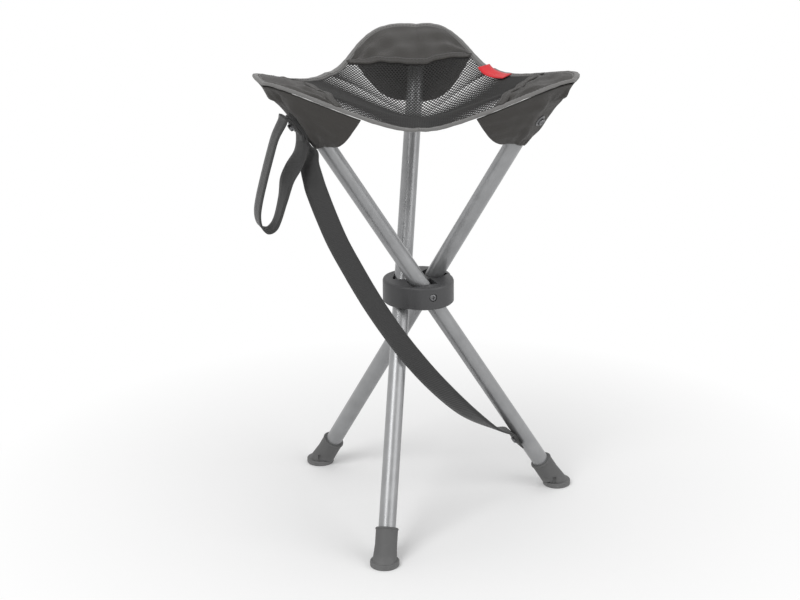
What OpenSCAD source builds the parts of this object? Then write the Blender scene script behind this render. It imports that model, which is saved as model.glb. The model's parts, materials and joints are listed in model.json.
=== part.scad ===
// Folding tripod camp stool: three straight tubes cross in a moulded hub and carry
// a triangular fabric sling on their upper ends. Millimetres, +Z up, floor at z = 0,
// origin under the middle of the stool's outline, front foot towards -Y.

/* [Legs] */
// Outside diameter of the leg tubes
tube_d = 16; // [14:0.5:20]
// Wall thickness of the leg tubes
tube_wall = 1.2; // [0.8:0.1:2]
// Lean of each tube from upright when the stool is open
tilt = 32.3; // [26:0.1:38]
// Length of a leg above its pivot screw
upper_len = 224; // [200:1:260]
// Length of a leg below its pivot screw, down to the floor under its foot
lower_len = 262; // [230:1:300]
// Turn of the whole stool about its upright axis
turn = 52.3; // [0:0.1:120]

/* [Hub] */
// Distance from the stool's axis to each tube's centreline
leg_offset = 16; // [15.5:0.1:22]
// Radius of each of the hub's outer lobes
lobe_r = 28.5; // [27.5:0.5:36]
// Distance from the stool's axis to the middle of each lobe
lobe_offset = 6; // [2:0.5:8]
// Angle from each pivot screw round to the middle of its lobe
lobe_turn = 20.7; // [10:0.1:30]
// Height of the hub above the pivot screws
hub_top = 10; // [8:0.5:14]
// Depth of the hub below the pivot screws
hub_drop = 12; // [9:0.5:16]
// Width of the broken upper edge of the hub
hub_round = 2; // [1:0.5:2.5]
// Gap between a tube and the walls of its slot
slot_gap = 0.3; // [0.2:0.1:0.6]
// Diameter of the pivot screws' shanks
pin_d = 5; // [4:0.5:6]
// Diameter of the pivot screws' heads
pin_head_d = 6.8; // [6.5:0.1:8]
// Height of the pivot screws' heads
pin_head_h = 2.2; // [1.5:0.1:3]
// Wall of the hub's core left between a screw's tip and the stool's axis
core_wall = 3.2; // [3.1:0.1:5]
// Radial clearance of a tube on its pivot screw
pin_gap = 0.05; // [0.02:0.01:0.08]
// Radial clearance of the feet and plugs that are pushed onto the tubes
push_gap = 0.05; // [0.02:0.01:0.1]

/* [Feet] */
// Diameter of the pad that meets the floor
pad_d = 27; // [24:0.5:27.5]
// Thickness of the pad
pad_t = 5; // [3:0.5:7]
// Outside diameter of the foot's sleeve
sleeve_d = 20.5; // [19.5:0.5:24]
// Length of the foot along the tube
foot_len = 34; // [28:1:45]
// Rubber left under the end of the tube, along the tube
sole = 12; // [10:0.5:16]
// Number of notches round the foot above its pad
notches = 10; // [6:1:14]

/* [Seat] */
// How far each corner of the seat reaches out past the end of its tube
corner_out = 38; // [30:1:45]
// Height of each corner of the seat over the end of its tube
corner_rise = 27; // [22:1:32]
// Depth of the middle of the seat below its corners
seat_sag = 51; // [42:1:58]
// Distance from the stool's axis to the seam between mesh and corner panel
seam_r = 98; // [90:1:108]
// Width of the binding tape on each face
binding_w = 7; // [5:0.5:9]
// Thickness of the bound edge
binding_t = 3.2; // [2.5:0.1:4]
// Thickness of the woven corner panels
panel_t = 1.4; // [1:0.1:2]
// Thickness of the mesh panel
mesh_t = 1.2; // [0.8:0.1:1.6]
// Gap kept between one sewn layer and the next
sewn_gap = 0.3; // [0.2:0.1:0.5]
// Depth of the front edge's middle below the corners
front_drop = 45; // [34:1:50]
// Depth of the back left edge's middle below the corners
back_left_drop = 22; // [14:1:35]
// Depth of the back right edge's middle below the corners
back_right_drop = 18; // [10:1:30]
// Distance from the stool's axis to the front edge's middle
front_mid_r = 72; // [65:1:85]
// Distance from the stool's axis to the back left edge's middle
back_left_mid_r = 100; // [85:1:106]
// Distance from the stool's axis to the back right edge's middle
back_right_mid_r = 85; // [75:1:100]

/* [Corner pockets] */
// Length of tube that each pocket hides below the tube's end
pocket_len = 43; // [35:1:55]
// Thickness of the pocket cloth
pocket_t = 1.4; // [1:0.1:2]
// Distance of the corner screw below the end of its tube
corner_screw_s = 9; // [7:0.5:14]
// Diameter of the corner screws' shanks
corner_screw_d = 4; // [3:0.5:5]
// Diameter of the cup washers under the corner screws
washer_d = 11; // [9:0.5:13]

/* [Tag] */
// Width of the tag on the back right edge
tag_w = 14; // [10:1:18]
// Thickness of the tag
tag_t = 1; // [0.6:0.1:1.6]

/* [Carrying strap] */
// Width of the webbing
strap_w = 20; // [16:1:25]
// Thickness of the webbing
strap_t = 1.6; // [1.2:0.1:2]
// Distance of the lower strap screw below the pivot screw
strap_screw_s = 190; // [170:1:205]

/* [Hidden] */
BACK = 0;
LEFT = 1;
RIGHT = 2;
LEGS = [BACK, LEFT, RIGHT];
$fn = 48;

tube_r = tube_d / 2;
bore_r = tube_r - tube_wall;
slot_r = tube_r + slot_gap;
pin_az = [turn + 120, turn + 240, turn];
hub_h = lower_len * cos(tilt);
head_seat_r = lobe_out(lobe_turn) - pin_head_h;
cloth_y = tube_r + sewn_gap;
tube_colour = "#8c8c8c";
dark_plastic = "#4c4c4c";
rubber_colour = "#565656";
cloth_colour = "#474340";
mesh_colour = "#2f2f2f";
tape_colour = "#7e7b78";
webbing_colour = "#3b3b3a";
steel_colour = "#b4b4b4";
tag_colour = "#e8303c";

// Directions and places on a leg; s runs along the tube from its pivot screw
function spin_z(a, p) = [p.x * cos(a) - p.y * sin(a), p.x * sin(a) + p.y * cos(a), p.z];
function out_dir(i) = spin_z(pin_az[i], [0, -1, 0]);
function leg_dir(i) = sin(tilt) * out_dir(i) + [0, 0, cos(tilt)];
function under_dir(i) = cos(tilt) * out_dir(i) - [0, 0, sin(tilt)];
function leg_pt(i, s) = spin_z(pin_az[i], [leg_offset, 0, 0]) + s * leg_dir(i);
// Distance from the stool's axis to the hub's face, a degrees from a lobe's middle
function lobe_out(a) = lobe_offset * cos(a) + sqrt(pow(lobe_r, 2) - pow(lobe_offset * sin(a), 2));

// The seat's rim. Each corner is blunt, and runs along a curve to each edge's middle
tube_end = [for (i = LEGS) leg_pt(i, upper_len)];
corner_az = [for (p = tube_end) atan2(p.y, p.x)];
corner_r = norm([tube_end[0].x, tube_end[0].y]) + corner_out;
corner_z = tube_end[0].z + corner_rise;
seat_floor = corner_z - seat_sag;
// Edges in the order front, back left, back right
edge_r = [front_mid_r, back_left_mid_r, back_right_mid_r];
edge_z = [corner_z - front_drop, corner_z - back_left_drop, corner_z - back_right_drop];
// Reach of each edge's curve along the blunt corners and along the edge's middle
tip_reach = [30, 62, 43];
mid_reach = [28, 54, 38];
tip_lift = 9;
mid_dip = 6;
next_edge = [1, 0, 2];
last_edge = [2, 1, 0];
function polar(a, r, z) = [r * cos(a), r * sin(a), z];
function along(a) = [-sin(a), cos(a), 0];
function bezier(a, b, c, d, t) = pow(1 - t, 3) * a + 3 * pow(1 - t, 2) * t * b
    + 3 * (1 - t) * t * t * c + t * t * t * d;
function half_edge(i, side, edge, q) =
    let (az = corner_az[i], mid_az = az + side * 60,
         tip = polar(az, corner_r, corner_z), mid = polar(mid_az, edge_r[edge], edge_z[edge]))
    bezier(tip, tip + side * tip_reach[edge] * along(az) + [0, 0, tip_lift],
           mid - side * mid_reach[edge] * along(mid_az) - [0, 0, mid_dip], mid, q);
// Rim point beside corner i: q = 0 at the corner, 1 and -1 at the middles of its edges
function rim(i, q) = q < 0 ? half_edge(i, -1, last_edge[i], -q) : half_edge(i, 1, next_edge[i], q);
function flat_len(p) = norm([p.x, p.y]);

// Height of the sling between its middle (t = 0) and its rim (t = 1)
bowl = 0.12;
function rise(t) = (sqrt(t * t + bowl * bowl) - bowl) / (sqrt(1 + bowl * bowl) - bowl)
    * (1 + 0.2 * sin(180 * t));
function sling(e, t) = [e.x * t, e.y * t, seat_floor + (e.z - seat_floor) * rise(t)];
function inner_t(e) = 1 - (binding_w + sewn_gap) / flat_len(e);
// Share of the way out to rim point e at which the ray meets corner i's seam
function seam_t(i, e, r) = r / (e.x * cos(corner_az[i]) + e.y * sin(corner_az[i]));
// How far round the rim, in q, corner i's panel reaches on one side
function panel_q(i, side, low = 0, high = 1, left = 12) =
    let (q = (low + high) / 2, e = rim(i, side * q))
    left == 0 ? low
    : seam_t(i, e, seam_r + sewn_gap) < inner_t(e) - 0.02 ? panel_q(i, side, q, high, left - 1)
    : panel_q(i, side, low, q, left - 1);

// Outline of everything on the floor plan, and the shift that centres it
rim_steps = [-1:0.1:0.99];
rim_all = [for (i = LEGS, q = rim_steps) rim(i, q)];
foot_all = [for (i = LEGS) leg_pt(i, -lower_len)];
pad_r = pad_d / 2;
low_x = min(concat([for (p = rim_all) p.x], [for (p = foot_all) p.x - pad_r]));
high_x = max(concat([for (p = rim_all) p.x], [for (p = foot_all) p.x + pad_r]));
low_y = min(concat([for (p = rim_all) p.y], [for (p = foot_all) p.y - pad_r]));
high_y = max(concat([for (p = rim_all) p.y], [for (p = foot_all) p.y + pad_r]));

module stand() translate([-(low_x + high_x) / 2, -(low_y + high_y) / 2, hub_h]) children();
// On a leg: Z runs up the tube from the pivot screw, X along the screw, -Y faces under
module on_leg(i) stand() translate(leg_pt(i, 0)) rotate([0, 0, pin_az[i]]) rotate([tilt, 0, 0]) children();
module on_hub(a) stand() rotate([0, 0, a]) children();
module on_floor() translate([0, 0, -lower_len]) rotate([-tilt, 0, 0]) children();
// A solid that runs through rings of points, closed on itself or capped at its ends
module skin(rings, closed = false) {
    n = len(rings);
    m = len(rings[0]);
    points = [for (r = rings, p = r) p];
    sides = [for (k = [0:closed ? n - 1 : n - 2], j = [0:m - 1])
        let (a = k * m + j, b = k * m + (j + 1) % m, c = ((k + 1) % n) * m + (j + 1) % m,
             d = ((k + 1) % n) * m + j)
        each [[a, c, b], [a, d, c]]];
    caps = closed ? [] : [for (k = [0, n - 1], j = [0:m / 2 - 2])
        let (a = k * m + j, b = k * m + j + 1, c = k * m + m - 2 - j, d = k * m + m - 1 - j)
        each k == 0 ? [[a, b, c], [a, c, d]] : [[a, c, b], [a, d, c]]];
    polyhedron(points, concat(sides, caps), convexity = 6);
}
function reversed(v) = [for (k = [len(v) - 1:-1:0]) v[k]];
function unit(v) = v / norm(v);
function mix(a, b, t) = a + t * (b - a);

// Hourglass slot, in which one tube swings from open to folded round its screw
slot_side = slot_r / cos(tilt);
module slot(i) {
    up = hub_top + 1;
    down = hub_drop + 1;
    waist = slot_r * tan(tilt / 2);
    on_hub(pin_az[i]) translate([leg_offset, 0, 0])
        rotate([90, 0, 90]) linear_extrude(2 * slot_r, center = true)
            polygon([[slot_r, up], [slot_r, waist], [down * tan(tilt) + slot_side, -down],
                     [-slot_r, -down], [-slot_r, -waist], [-up * tan(tilt) - slot_side, up]]);
}

// One lobe, its upper edge broken in two steps and its lower edge in one
module hub_lobe() {
    side = 0.29 * hub_round;
    rotate_extrude()
        polygon([[0, -hub_drop], [lobe_r - hub_round / 2, -hub_drop], [lobe_r, -hub_drop + hub_round / 2],
                 [lobe_r, hub_top - hub_round], [lobe_r - side, hub_top - side],
                 [lobe_r - hub_round, hub_top], [0, hub_top]]);
}

// Moulded hub: three lobes with a slot for each tube, then bores for the screws and coring below
module hub_block() color(dark_plastic) difference() {
    difference() {
        union() for (a = pin_az) on_hub(a + lobe_turn) translate([lobe_offset, 0, 0]) hub_lobe();
        for (i = LEGS) slot(i);
    }
    for (a = pin_az) on_hub(a) rotate([0, 90, 0]) {
        translate([0, 0, core_wall]) cylinder(d = pin_d + 2 * pin_gap, h = 2 * lobe_r);
        translate([0, 0, head_seat_r]) cylinder(d = pin_head_d + 0.6, h = lobe_r);
    }
    for (a = pin_az)
        on_hub(a - 46) translate([lobe_r - 6, 0, -hub_drop - 1]) cylinder(r = 3.6, h = hub_drop - 2);
}

module cross_recess(d, depth) for (a = [0, 90]) rotate([0, 0, a])
    translate([-d / 2, -d / 10, -depth]) cube([d, d / 5, 2 * depth]);

// Pan head on +Z with its shank on -Z
module screw(shank_d, shank_l, head_d, head_h) difference() {
    union() {
        translate([0, 0, -shank_l]) cylinder(d = shank_d, h = shank_l + head_h / 2);
        rotate_extrude() {
            square([head_d / 2, head_h / 2]);
            square([head_d / 2 - head_h / 2, head_h]);
            translate([head_d / 2 - head_h / 2, head_h / 2]) intersection() {
                circle(head_h / 2);
                square(head_h);
            }
        }
    }
    translate([0, 0, head_h]) cross_recess(head_d * 0.55, head_h * 0.6);
}

module pivot_screws() color(steel_colour) for (a = pin_az) on_hub(a)
    translate([head_seat_r, 0, 0]) rotate([0, 90, 0])
    screw(pin_d, head_seat_r - core_wall - 0.4, pin_head_d, pin_head_h);

module tube(i) color(tube_colour) on_leg(i) difference() {
    translate([0, 0, sole - lower_len]) cylinder(r = tube_r, h = lower_len - sole + upper_len);
    translate([0, 0, -lower_len]) cylinder(r = bore_r, h = lower_len + upper_len + 1);
    rotate([0, 90, 0]) cylinder(d = pin_d + 2 * pin_gap, h = 2 * tube_d, center = true);
    translate([0, 0, upper_len - corner_screw_s]) rotate([90, 0, 0]) cylinder(d = corner_screw_d + 0.1, h = tube_d);
    if (i == LEFT) translate([0, 0, -strap_screw_s]) rotate([90, 0, 0]) cylinder(d = corner_screw_d + 0.1, h = tube_d);
}

module back_tube() tube(BACK);
module left_tube() tube(LEFT);
module right_tube() tube(RIGHT);

// Rubber foot: a sleeve in line with the tube, on a pad that lies flat on the floor
module foot(i) color(rubber_colour) on_leg(i) difference() {
    sleeve_r = sleeve_d / 2;
    lip = 2.2;
    union() {
        translate([0, 0, -lower_len + sole]) cylinder(r = sleeve_r, h = foot_len - sole);
        translate([0, 0, -lower_len + foot_len - lip]) rotate_extrude() {
            square([sleeve_r, lip]);
            translate([sleeve_r - lip / 4, lip / 2]) circle(lip / 2);
        }
        hull() {
            translate([0, 0, -lower_len + sole + 6]) cylinder(r = sleeve_r, h = 0.5, $fn = 32);
            on_floor() translate([0, 0, pad_t - 1]) cylinder(r = pad_r - 2.2, h = 0.5, $fn = 32);
        }
        on_floor() rotate_extrude() {
            square([pad_r - 1, pad_t]);
            translate([0, 1]) square([pad_r, pad_t - 2]);
            for (z = [1, pad_t - 1]) translate([pad_r - 1, z]) circle(1);
        }
    }
    translate([0, 0, -lower_len + sole]) cylinder(r = tube_r + push_gap, h = foot_len);
    on_floor() for (k = [1:notches]) rotate([0, 0, k * 360 / notches])
        translate([pad_r - 0.6, 0, pad_t + 0.4]) cylinder(r = 1.9, h = 7);
    on_floor() for (r = [pad_r * 0.5, pad_r * 0.75]) rotate_extrude()
        translate([r, -1]) square([1.2, 1.8]);
}

module back_foot() foot(BACK);
module left_foot() foot(LEFT);
module right_foot() foot(RIGHT);

// Ribbed plug with a domed top that closes the tube inside its pocket
plug_stem = 14;
plug_dome = 3;
module plug(i) color(dark_plastic) difference() {
    on_leg(i) translate([0, 0, upper_len]) rotate_extrude() {
        translate([0, -plug_stem]) square([bore_r - 0.7, plug_stem]);
        for (k = [0:3]) translate([0, -plug_stem + 1 + 3.2 * k]) square([bore_r - push_gap, 1.6]);
        intersection() {
            translate([0, plug_dome - pow(tube_r, 2) / plug_dome]) circle(r = pow(tube_r, 2) / plug_dome, $fn = 96);
            square([tube_r - 0.2, plug_dome]);
        }
    }
    on_corner_screw(i) translate([0, 0, screw_tip - 0.5]) cylinder(d = corner_screw_d + 2 * push_gap, h = tube_r);
}

module back_plug() plug(BACK);
module left_plug() plug(LEFT);
module right_plug() plug(RIGHT);

// Mesh panel: from the middle of the sling out to the binding and the three seams
module seat_mesh() color(mesh_colour) {
    steps = [0.15, 0.4, 0.65, 0.85, 1];
    spokes = [for (i = LEGS, q = rim_steps) let (e = rim(i, q))
        [e, min(inner_t(e), seam_t(i, e, seam_r))]];
    n = len(spokes);
    m = len(steps);
    layers = [for (h = [mesh_t / 2, -mesh_t / 2]) concat([[0, 0, seat_floor + h]],
        [for (s = spokes, t = steps) sling(s[0], s[1] * t) + [0, 0, h]])];
    low = 1 + n * m;
    faces = [for (k = [0:n - 1]) let (a = 1 + k * m, b = 1 + ((k + 1) % n) * m) each concat(
        [[0, b, a], [low, low + a, low + b]],
        [for (j = [0:m - 2]) each [[a + j, b + j + 1, a + j + 1], [a + j, b + j, b + j + 1],
            [low + a + j, low + a + j + 1, low + b + j + 1], [low + a + j, low + b + j + 1, low + b + j]]],
        [[a + m - 1, b + m - 1, low + b + m - 1], [a + m - 1, low + b + m - 1, low + a + m - 1]])];
    stand() polyhedron(concat(layers[0], layers[1]), faces, convexity = 6);
}

// Folded tape round the whole rim
module edge_binding() color(tape_colour) stand() skin([for (i = LEGS, q = rim_steps)
    let (e = rim(i, q), r = flat_len(e), h = [0, 0, binding_t / 2])
    [sling(e, 1 - binding_w / r) + h, sling(e, 1 - 0.8 / r) + h, sling(e, 1) + h / 3,
     sling(e, 1) - h / 3, sling(e, 1 - 0.8 / r) - h, sling(e, 1 - binding_w / r) - h]], closed = true);

// Woven corner panel between its seam and the binding, at the binding's own stations
module corner_panel(i) color(cloth_colour) stand() {
    ends = [-panel_q(i, -1), panel_q(i, 1)];
    half = [0, 0, panel_t / 2];
    stations = concat([ends[0]], [for (q = rim_steps) if (q > ends[0] + 0.02 && q < ends[1] - 0.02) q], [ends[1]]);
    skin([for (q = stations)
        let (e = rim(i, q), ts = seam_t(i, e, seam_r + sewn_gap), te = inner_t(e) - sewn_gap / flat_len(e))
        concat([for (w = [0:0.25:1]) sling(e, mix(ts, te, w)) + half],
               [for (w = [1:-0.25:0]) sling(e, mix(ts, te, w)) - half])]);
}

module back_panel() corner_panel(BACK);
module left_panel() corner_panel(LEFT);
module right_panel() corner_panel(RIGHT);

// Pocket under a corner: cloth from the rim down to a hem that wraps the tube
pocket_q = 0.62;
hem_wrap = 100;
cloth_r = cloth_y + pocket_t / 2;
function around_tube(i, s, a, r) = leg_pt(i, s)
    + r * (cos(a) * under_dir(i) + sin(a) * spin_z(pin_az[i], [1, 0, 0]));
function pocket_top(i, v) = let (e = rim(i, v * pocket_q))
    sling(e, 1 - binding_w / 2 / flat_len(e)) - [0, 0, binding_t / 2 + sewn_gap + pocket_t];
function pocket_hem(i, v) = around_tube(i, upper_len - pocket_len, v * hem_wrap, cloth_r);
function ease(x, near, far) = let (t = min(max((far - x) / (far - near), 0), 1)) t * t * (3 - 2 * t);
function pocket_base(i, v, w) = mix(pocket_hem(i, v), pocket_top(i, v), w);
// The corner screw pulls the cloth flat against the tube's underside around its washer
function pocket_mid(i, v, w) =
    let (p = pocket_base(i, v, w),
         screw_w = (pocket_len - corner_screw_s) / norm(pocket_top(i, 0) - pocket_hem(i, 0)),
         lift = (p - leg_pt(i, 0)) * under_dir(i) - cloth_r)
    p - lift * under_dir(i) * ease(abs(v), 0.2, 0.55) * ease(abs(w - screw_w), 0.13, 0.45);
function pocket_pt(i, v, w, side) =
    let (d = 0.01, across = pocket_mid(i, v + d, w) - pocket_mid(i, v - d, w),
         up = pocket_mid(i, v, w + d) - pocket_mid(i, v, w - d))
    pocket_mid(i, v, w) + side * pocket_t / 2 * unit(cross(across, up));
module pocket(i) color(cloth_colour) difference() {
    stand() skin([for (v = [-1:0.1:1]) concat([for (w = [0:0.1:1.001]) pocket_pt(i, v, w, 1)],
        [for (w = [1:-0.1:-0.001]) pocket_pt(i, v, w, -1)])]);
    on_leg(i) translate([0, 0, upper_len - corner_screw_s]) rotate([90, 0, 0])
        cylinder(d = corner_screw_d + 0.2, h = 3 * tube_d);
}

module back_pocket() pocket(BACK);
module left_pocket() pocket(LEFT);
module right_pocket() pocket(RIGHT);

// Layers under a corner screw's head: cloth, on the left leg the webbing too, then the washer
washer_t = 1.2;
layer_gap = 0.2;
strap_layers = 3;
function washer_y(i) = cloth_y + pocket_t + layer_gap
    + (i == LEFT ? strap_layers * (strap_t + layer_gap) : 0);
screw_tip = bore_r - 3;
module on_corner_screw(i) on_leg(i) translate([0, 0, upper_len - corner_screw_s]) rotate([90, 0, 0]) children();
module washer(i) color(steel_colour) on_corner_screw(i) translate([0, 0, washer_y(i)]) rotate_extrude()
    polygon([[corner_screw_d / 2 + 0.1, 0], [washer_d / 2, 0], [washer_d / 2, washer_t / 3],
             [washer_d / 2 - 1.5, washer_t], [corner_screw_d / 2 + 0.1, washer_t]]);
module corner_screw(i) color(steel_colour) on_corner_screw(i)
    translate([0, 0, washer_y(i) + washer_t])
    screw(corner_screw_d, washer_y(i) + washer_t - screw_tip, 2 * corner_screw_d - 1, 2);

module back_washer() washer(BACK);
module left_washer() washer(LEFT);
module right_washer() washer(RIGHT);
module back_screw() corner_screw(BACK);
module left_screw() corner_screw(LEFT);
module right_screw() corner_screw(RIGHT);

// Webbing: each row is a point on its middle line and the direction across its width
function layer_y(k) = cloth_y + pocket_t + layer_gap + strap_t / 2 + k * (strap_t + layer_gap);
tube_side = spin_z(pin_az[LEFT], [1, 0, 0]);
strap_route = [
    [[-97, -61, 149], [0.5, -0.9, 0.1]],
    [[-97, -72, 140], [0.8, -0.5, 0.3]],
    [[-94, -79, 129], [0.9, -0.3, 0.4]],
    [[-91, -82, 119], [0.9, -0.2, 0.4]],
    [[-83, -82, 96], [0.9, -0.2, 0.4]],
    [[-73, -80, 70], [0.9, -0.2, 0.4]],
    [[-60, -77, 43], [0.8, -0.2, 0.5]],
    [[-48, -73, 19], [0.8, -0.2, 0.5]],
    [[-38, -68, 0], [0.8, -0.2, 0.5]],
    [[-25, -61, -23], [0.8, -0.2, 0.5]],
    [[-8, -50, -51], [0.7, -0.2, 0.6]],
    [[15, -36, -84], [0.6, -0.3, 0.6]],
    [[44, -14, -121], [0.5, -0.5, 0.5]],
    [[72, 6, -148], [0.4, -0.8, 0.2]]];
loop_route = [
    [[-127, -71, 166], [0.3, -0.9, 0]],
    [[-132, -76, 150], [0.3, -0.9, 0]],
    [[-137, -80, 132], [0.3, -0.9, 0]],
    [[-142, -82, 112], [0.3, -0.9, 0]],
    [[-144, -82, 98], [0.3, -0.9, 0]],
    [[-142, -82, 88], [0.3, -0.9, 0]],
    [[-136, -82, 84], [0.3, -0.9, 0]],
    [[-130, -82, 87], [0.3, -0.9, 0]],
    [[-126, -82, 95], [0.3, -0.9, 0]],
    [[-121, -83, 113], [0.4, -0.9, 0]],
    [[-117, -83, 130], [0.6, -0.8, 0]],
    [[-111, -78, 141], [0.7, -0.7, 0]],
    [[-106, -68, 151], [0.5, -0.9, 0]]];
function webbing_ring(rows, k, w, t) =
    let (p = rows[k][0], d = unit(rows[min(k + 1, len(rows) - 1)][0] - rows[max(k - 1, 0)][0]),
         n = unit(cross(d, rows[k][1])), a = cross(n, d) * w / 2, h = n * t / 2)
    [p + a + h, p - a + h, p - a - h, p + a - h];
module webbing(rows, w = strap_w, t = strap_t) stand()
    skin([for (k = [0:len(rows) - 1]) webbing_ring(rows, k, w, t)]);
module carry_strap() color(webbing_colour) difference() {
    s = upper_len - corner_screw_s;
    low_y = tube_r + layer_gap + strap_t / 2;
    webbing(concat([for (d = [[8, 0], [0, 0], [-8, 0], [-16, 2]]) [around_tube(LEFT, s + d[0], 0, layer_y(0) + d[1]), tube_side]],
        strap_route, [for (d = [10, 0, -8]) [around_tube(LEFT, d - strap_screw_s, 0, low_y), tube_side]]));
    on_corner_screw(LEFT) cylinder(d = corner_screw_d + 0.2, h = 3 * tube_d);
    on_leg(LEFT) translate([0, 0, -strap_screw_s]) rotate([90, 0, 0]) cylinder(d = corner_screw_d + 0.2, h = 2 * tube_d);
}

module strap_loop() color(webbing_colour) difference() {
    s = upper_len - corner_screw_s;
    fold = [[-8, 0], [0, 0], [8, 0], [12, 2.5], [9, 6]];
    webbing(concat([for (d = fold) [around_tube(LEFT, s + d[0], 0, layer_y(2) + d[1]), tube_side]], loop_route,
        [for (d = [[-16, 4], [-8, 0], [0, 0], [8, 0]]) [around_tube(LEFT, s + d[0], 0, layer_y(1) + d[1]), tube_side]]));
    on_corner_screw(LEFT) cylinder(d = corner_screw_d + 0.2, h = 3 * tube_d);
}

module strap_screw() color(steel_colour) on_leg(LEFT) translate([0, 0, -strap_screw_s]) rotate([90, 0, 0])
    translate([0, 0, tube_r + 2 * layer_gap + strap_t])
    screw(corner_screw_d, tube_r + 2 * layer_gap + strap_t - screw_tip, 2 * corner_screw_d - 1, 2);

// Plain tag, sewn in at the back right edge's binding, its free end curling up
module side_tag() color(tag_colour) {
    stations = [rim(RIGHT, 0.86), rim(RIGHT, 1), rim(BACK, -0.9), rim(BACK, -0.8)];
    curl = [0, 1, 4, 9];
    webbing([for (k = [0:len(stations) - 1]) let (e = stations[k], r = flat_len(e))
        [sling(e, inner_t(e) - (tag_w / 2 + sewn_gap) / r) + [0, 0, mesh_t / 2 + sewn_gap + tag_t / 2 + curl[k]],
         [e.x, e.y, 0.2 * r]]], tag_w, tag_t);
}

hub_block();
pivot_screws();
seat_mesh();
edge_binding();
side_tag();
back_tube();
left_tube();
right_tube();
back_foot();
left_foot();
right_foot();
back_plug();
left_plug();
right_plug();
back_pocket();
left_pocket();
right_pocket();
back_panel();
left_panel();
right_panel();
back_washer();
left_washer();
right_washer();
back_screw();
left_screw();
right_screw();
carry_strap();
strap_loop();
strap_screw();
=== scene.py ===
import json
import math

import bmesh
import bpy
import numpy as np
from mathutils import Matrix, Vector


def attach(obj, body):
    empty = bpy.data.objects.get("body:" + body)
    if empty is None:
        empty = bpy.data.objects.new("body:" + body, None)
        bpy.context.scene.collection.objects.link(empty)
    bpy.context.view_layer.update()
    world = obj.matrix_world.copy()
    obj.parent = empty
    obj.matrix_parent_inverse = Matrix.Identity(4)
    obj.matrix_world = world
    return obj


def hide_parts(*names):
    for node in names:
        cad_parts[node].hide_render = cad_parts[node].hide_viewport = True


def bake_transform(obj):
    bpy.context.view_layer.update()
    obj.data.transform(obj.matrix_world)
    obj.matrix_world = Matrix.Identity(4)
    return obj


bl_info = {
    "name": "Folding tripod stool",
    "version": (1, 0, 0),
    "blender": (4, 5, 0),
    "location": "View3D > Sidebar > Stool",
    "description": "Dresses a folding tripod stool: cloth, net, tape, webbing and finishes",
    "category": "Object",
}

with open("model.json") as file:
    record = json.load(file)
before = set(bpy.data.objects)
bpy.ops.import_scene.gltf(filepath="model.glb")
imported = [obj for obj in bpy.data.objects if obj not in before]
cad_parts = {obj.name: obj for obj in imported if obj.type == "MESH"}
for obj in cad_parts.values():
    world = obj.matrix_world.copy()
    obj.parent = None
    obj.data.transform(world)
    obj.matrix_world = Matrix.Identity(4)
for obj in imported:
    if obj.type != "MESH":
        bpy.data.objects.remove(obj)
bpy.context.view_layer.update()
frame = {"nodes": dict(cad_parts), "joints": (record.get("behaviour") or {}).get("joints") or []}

LEGS = ("back", "left", "right")
UP = Vector((0, 0, 1))
JOINT = {j["child"]: j for j in frame["joints"]}
TILT = math.radians(JOINT["back_leg"]["range_deg"][1])


class Leg:
    """One leg's own directions: along its tube, across it at its pivot, and out from its underside."""

    def __init__(self, name):
        joint = JOINT[name + "_leg"]
        self.name = name
        self.pivot = Vector(joint["pos_m"])
        self.across = -Vector(joint["axis"]).normalized()
        out = Vector((self.across.y, -self.across.x, 0))
        self.along = out * math.sin(TILT) + UP * math.cos(TILT)
        self.under = out * math.cos(TILT) - UP * math.sin(TILT)

    def at(self, s, angle=0.0, r=0.0):
        """A point at s along the tube, at r from its middle, angle degrees round from its underside."""
        a = math.radians(angle)
        return self.pivot + self.along * s + (self.under * math.cos(a) + self.across * math.sin(a)) * r


LEG = {name: Leg(name) for name in LEGS}
MIDDLE = sum((leg.pivot for leg in LEG.values()), Vector()) / 3

# The sling's own sizes, in metres, as the solids have them; the back seam is set deeper here
UPPER_LEN = 0.224
TUBE_R = 0.008
CORNER_OUT = 0.038
CORNER_RISE = 0.027
SAG = 0.051
SEAM_R = (0.082, 0.098, 0.098)
BINDING_W = 0.007
BINDING_T = 0.0032
POCKET_LEN = 0.043
SCREW_S = UPPER_LEN - 0.009
STRAP_SCREW_S = -0.190
POCKET_REACH = 0.62
HEM_WRAP = 100
CLOTH_Y = TUBE_R + 0.0003
CLOTH_T = 0.0014
LAYER_GAP = 0.0002
STRAP_T = 0.0016
# Edges in the order front, back left, back right: middle's distance, drop, and the curve's two reaches
EDGE_R = (0.072, 0.100, 0.085)
EDGE_DROP = (0.045, 0.022, 0.018)
TIP_REACH = (0.030, 0.062, 0.043)
MID_REACH = (0.028, 0.054, 0.038)
TIP_LIFT = 0.009
MID_DIP = 0.006
NEXT_EDGE = (1, 0, 2)
LAST_EDGE = (2, 1, 0)
BOWL = 0.12


def polar(angle, r, z):
    """The point at an azimuth, a distance from the axis and a height."""
    return Vector((r * math.cos(angle), r * math.sin(angle), z))


TUBE_END = [LEG[name].at(UPPER_LEN) - MIDDLE for name in LEGS]
CORNER_AZ = [math.atan2(p.y, p.x) for p in TUBE_END]
CORNER_R = math.hypot(TUBE_END[0].x, TUBE_END[0].y) + CORNER_OUT
CORNER_Z = TUBE_END[0].z + CORNER_RISE
FLOOR_Z = CORNER_Z - SAG


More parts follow.
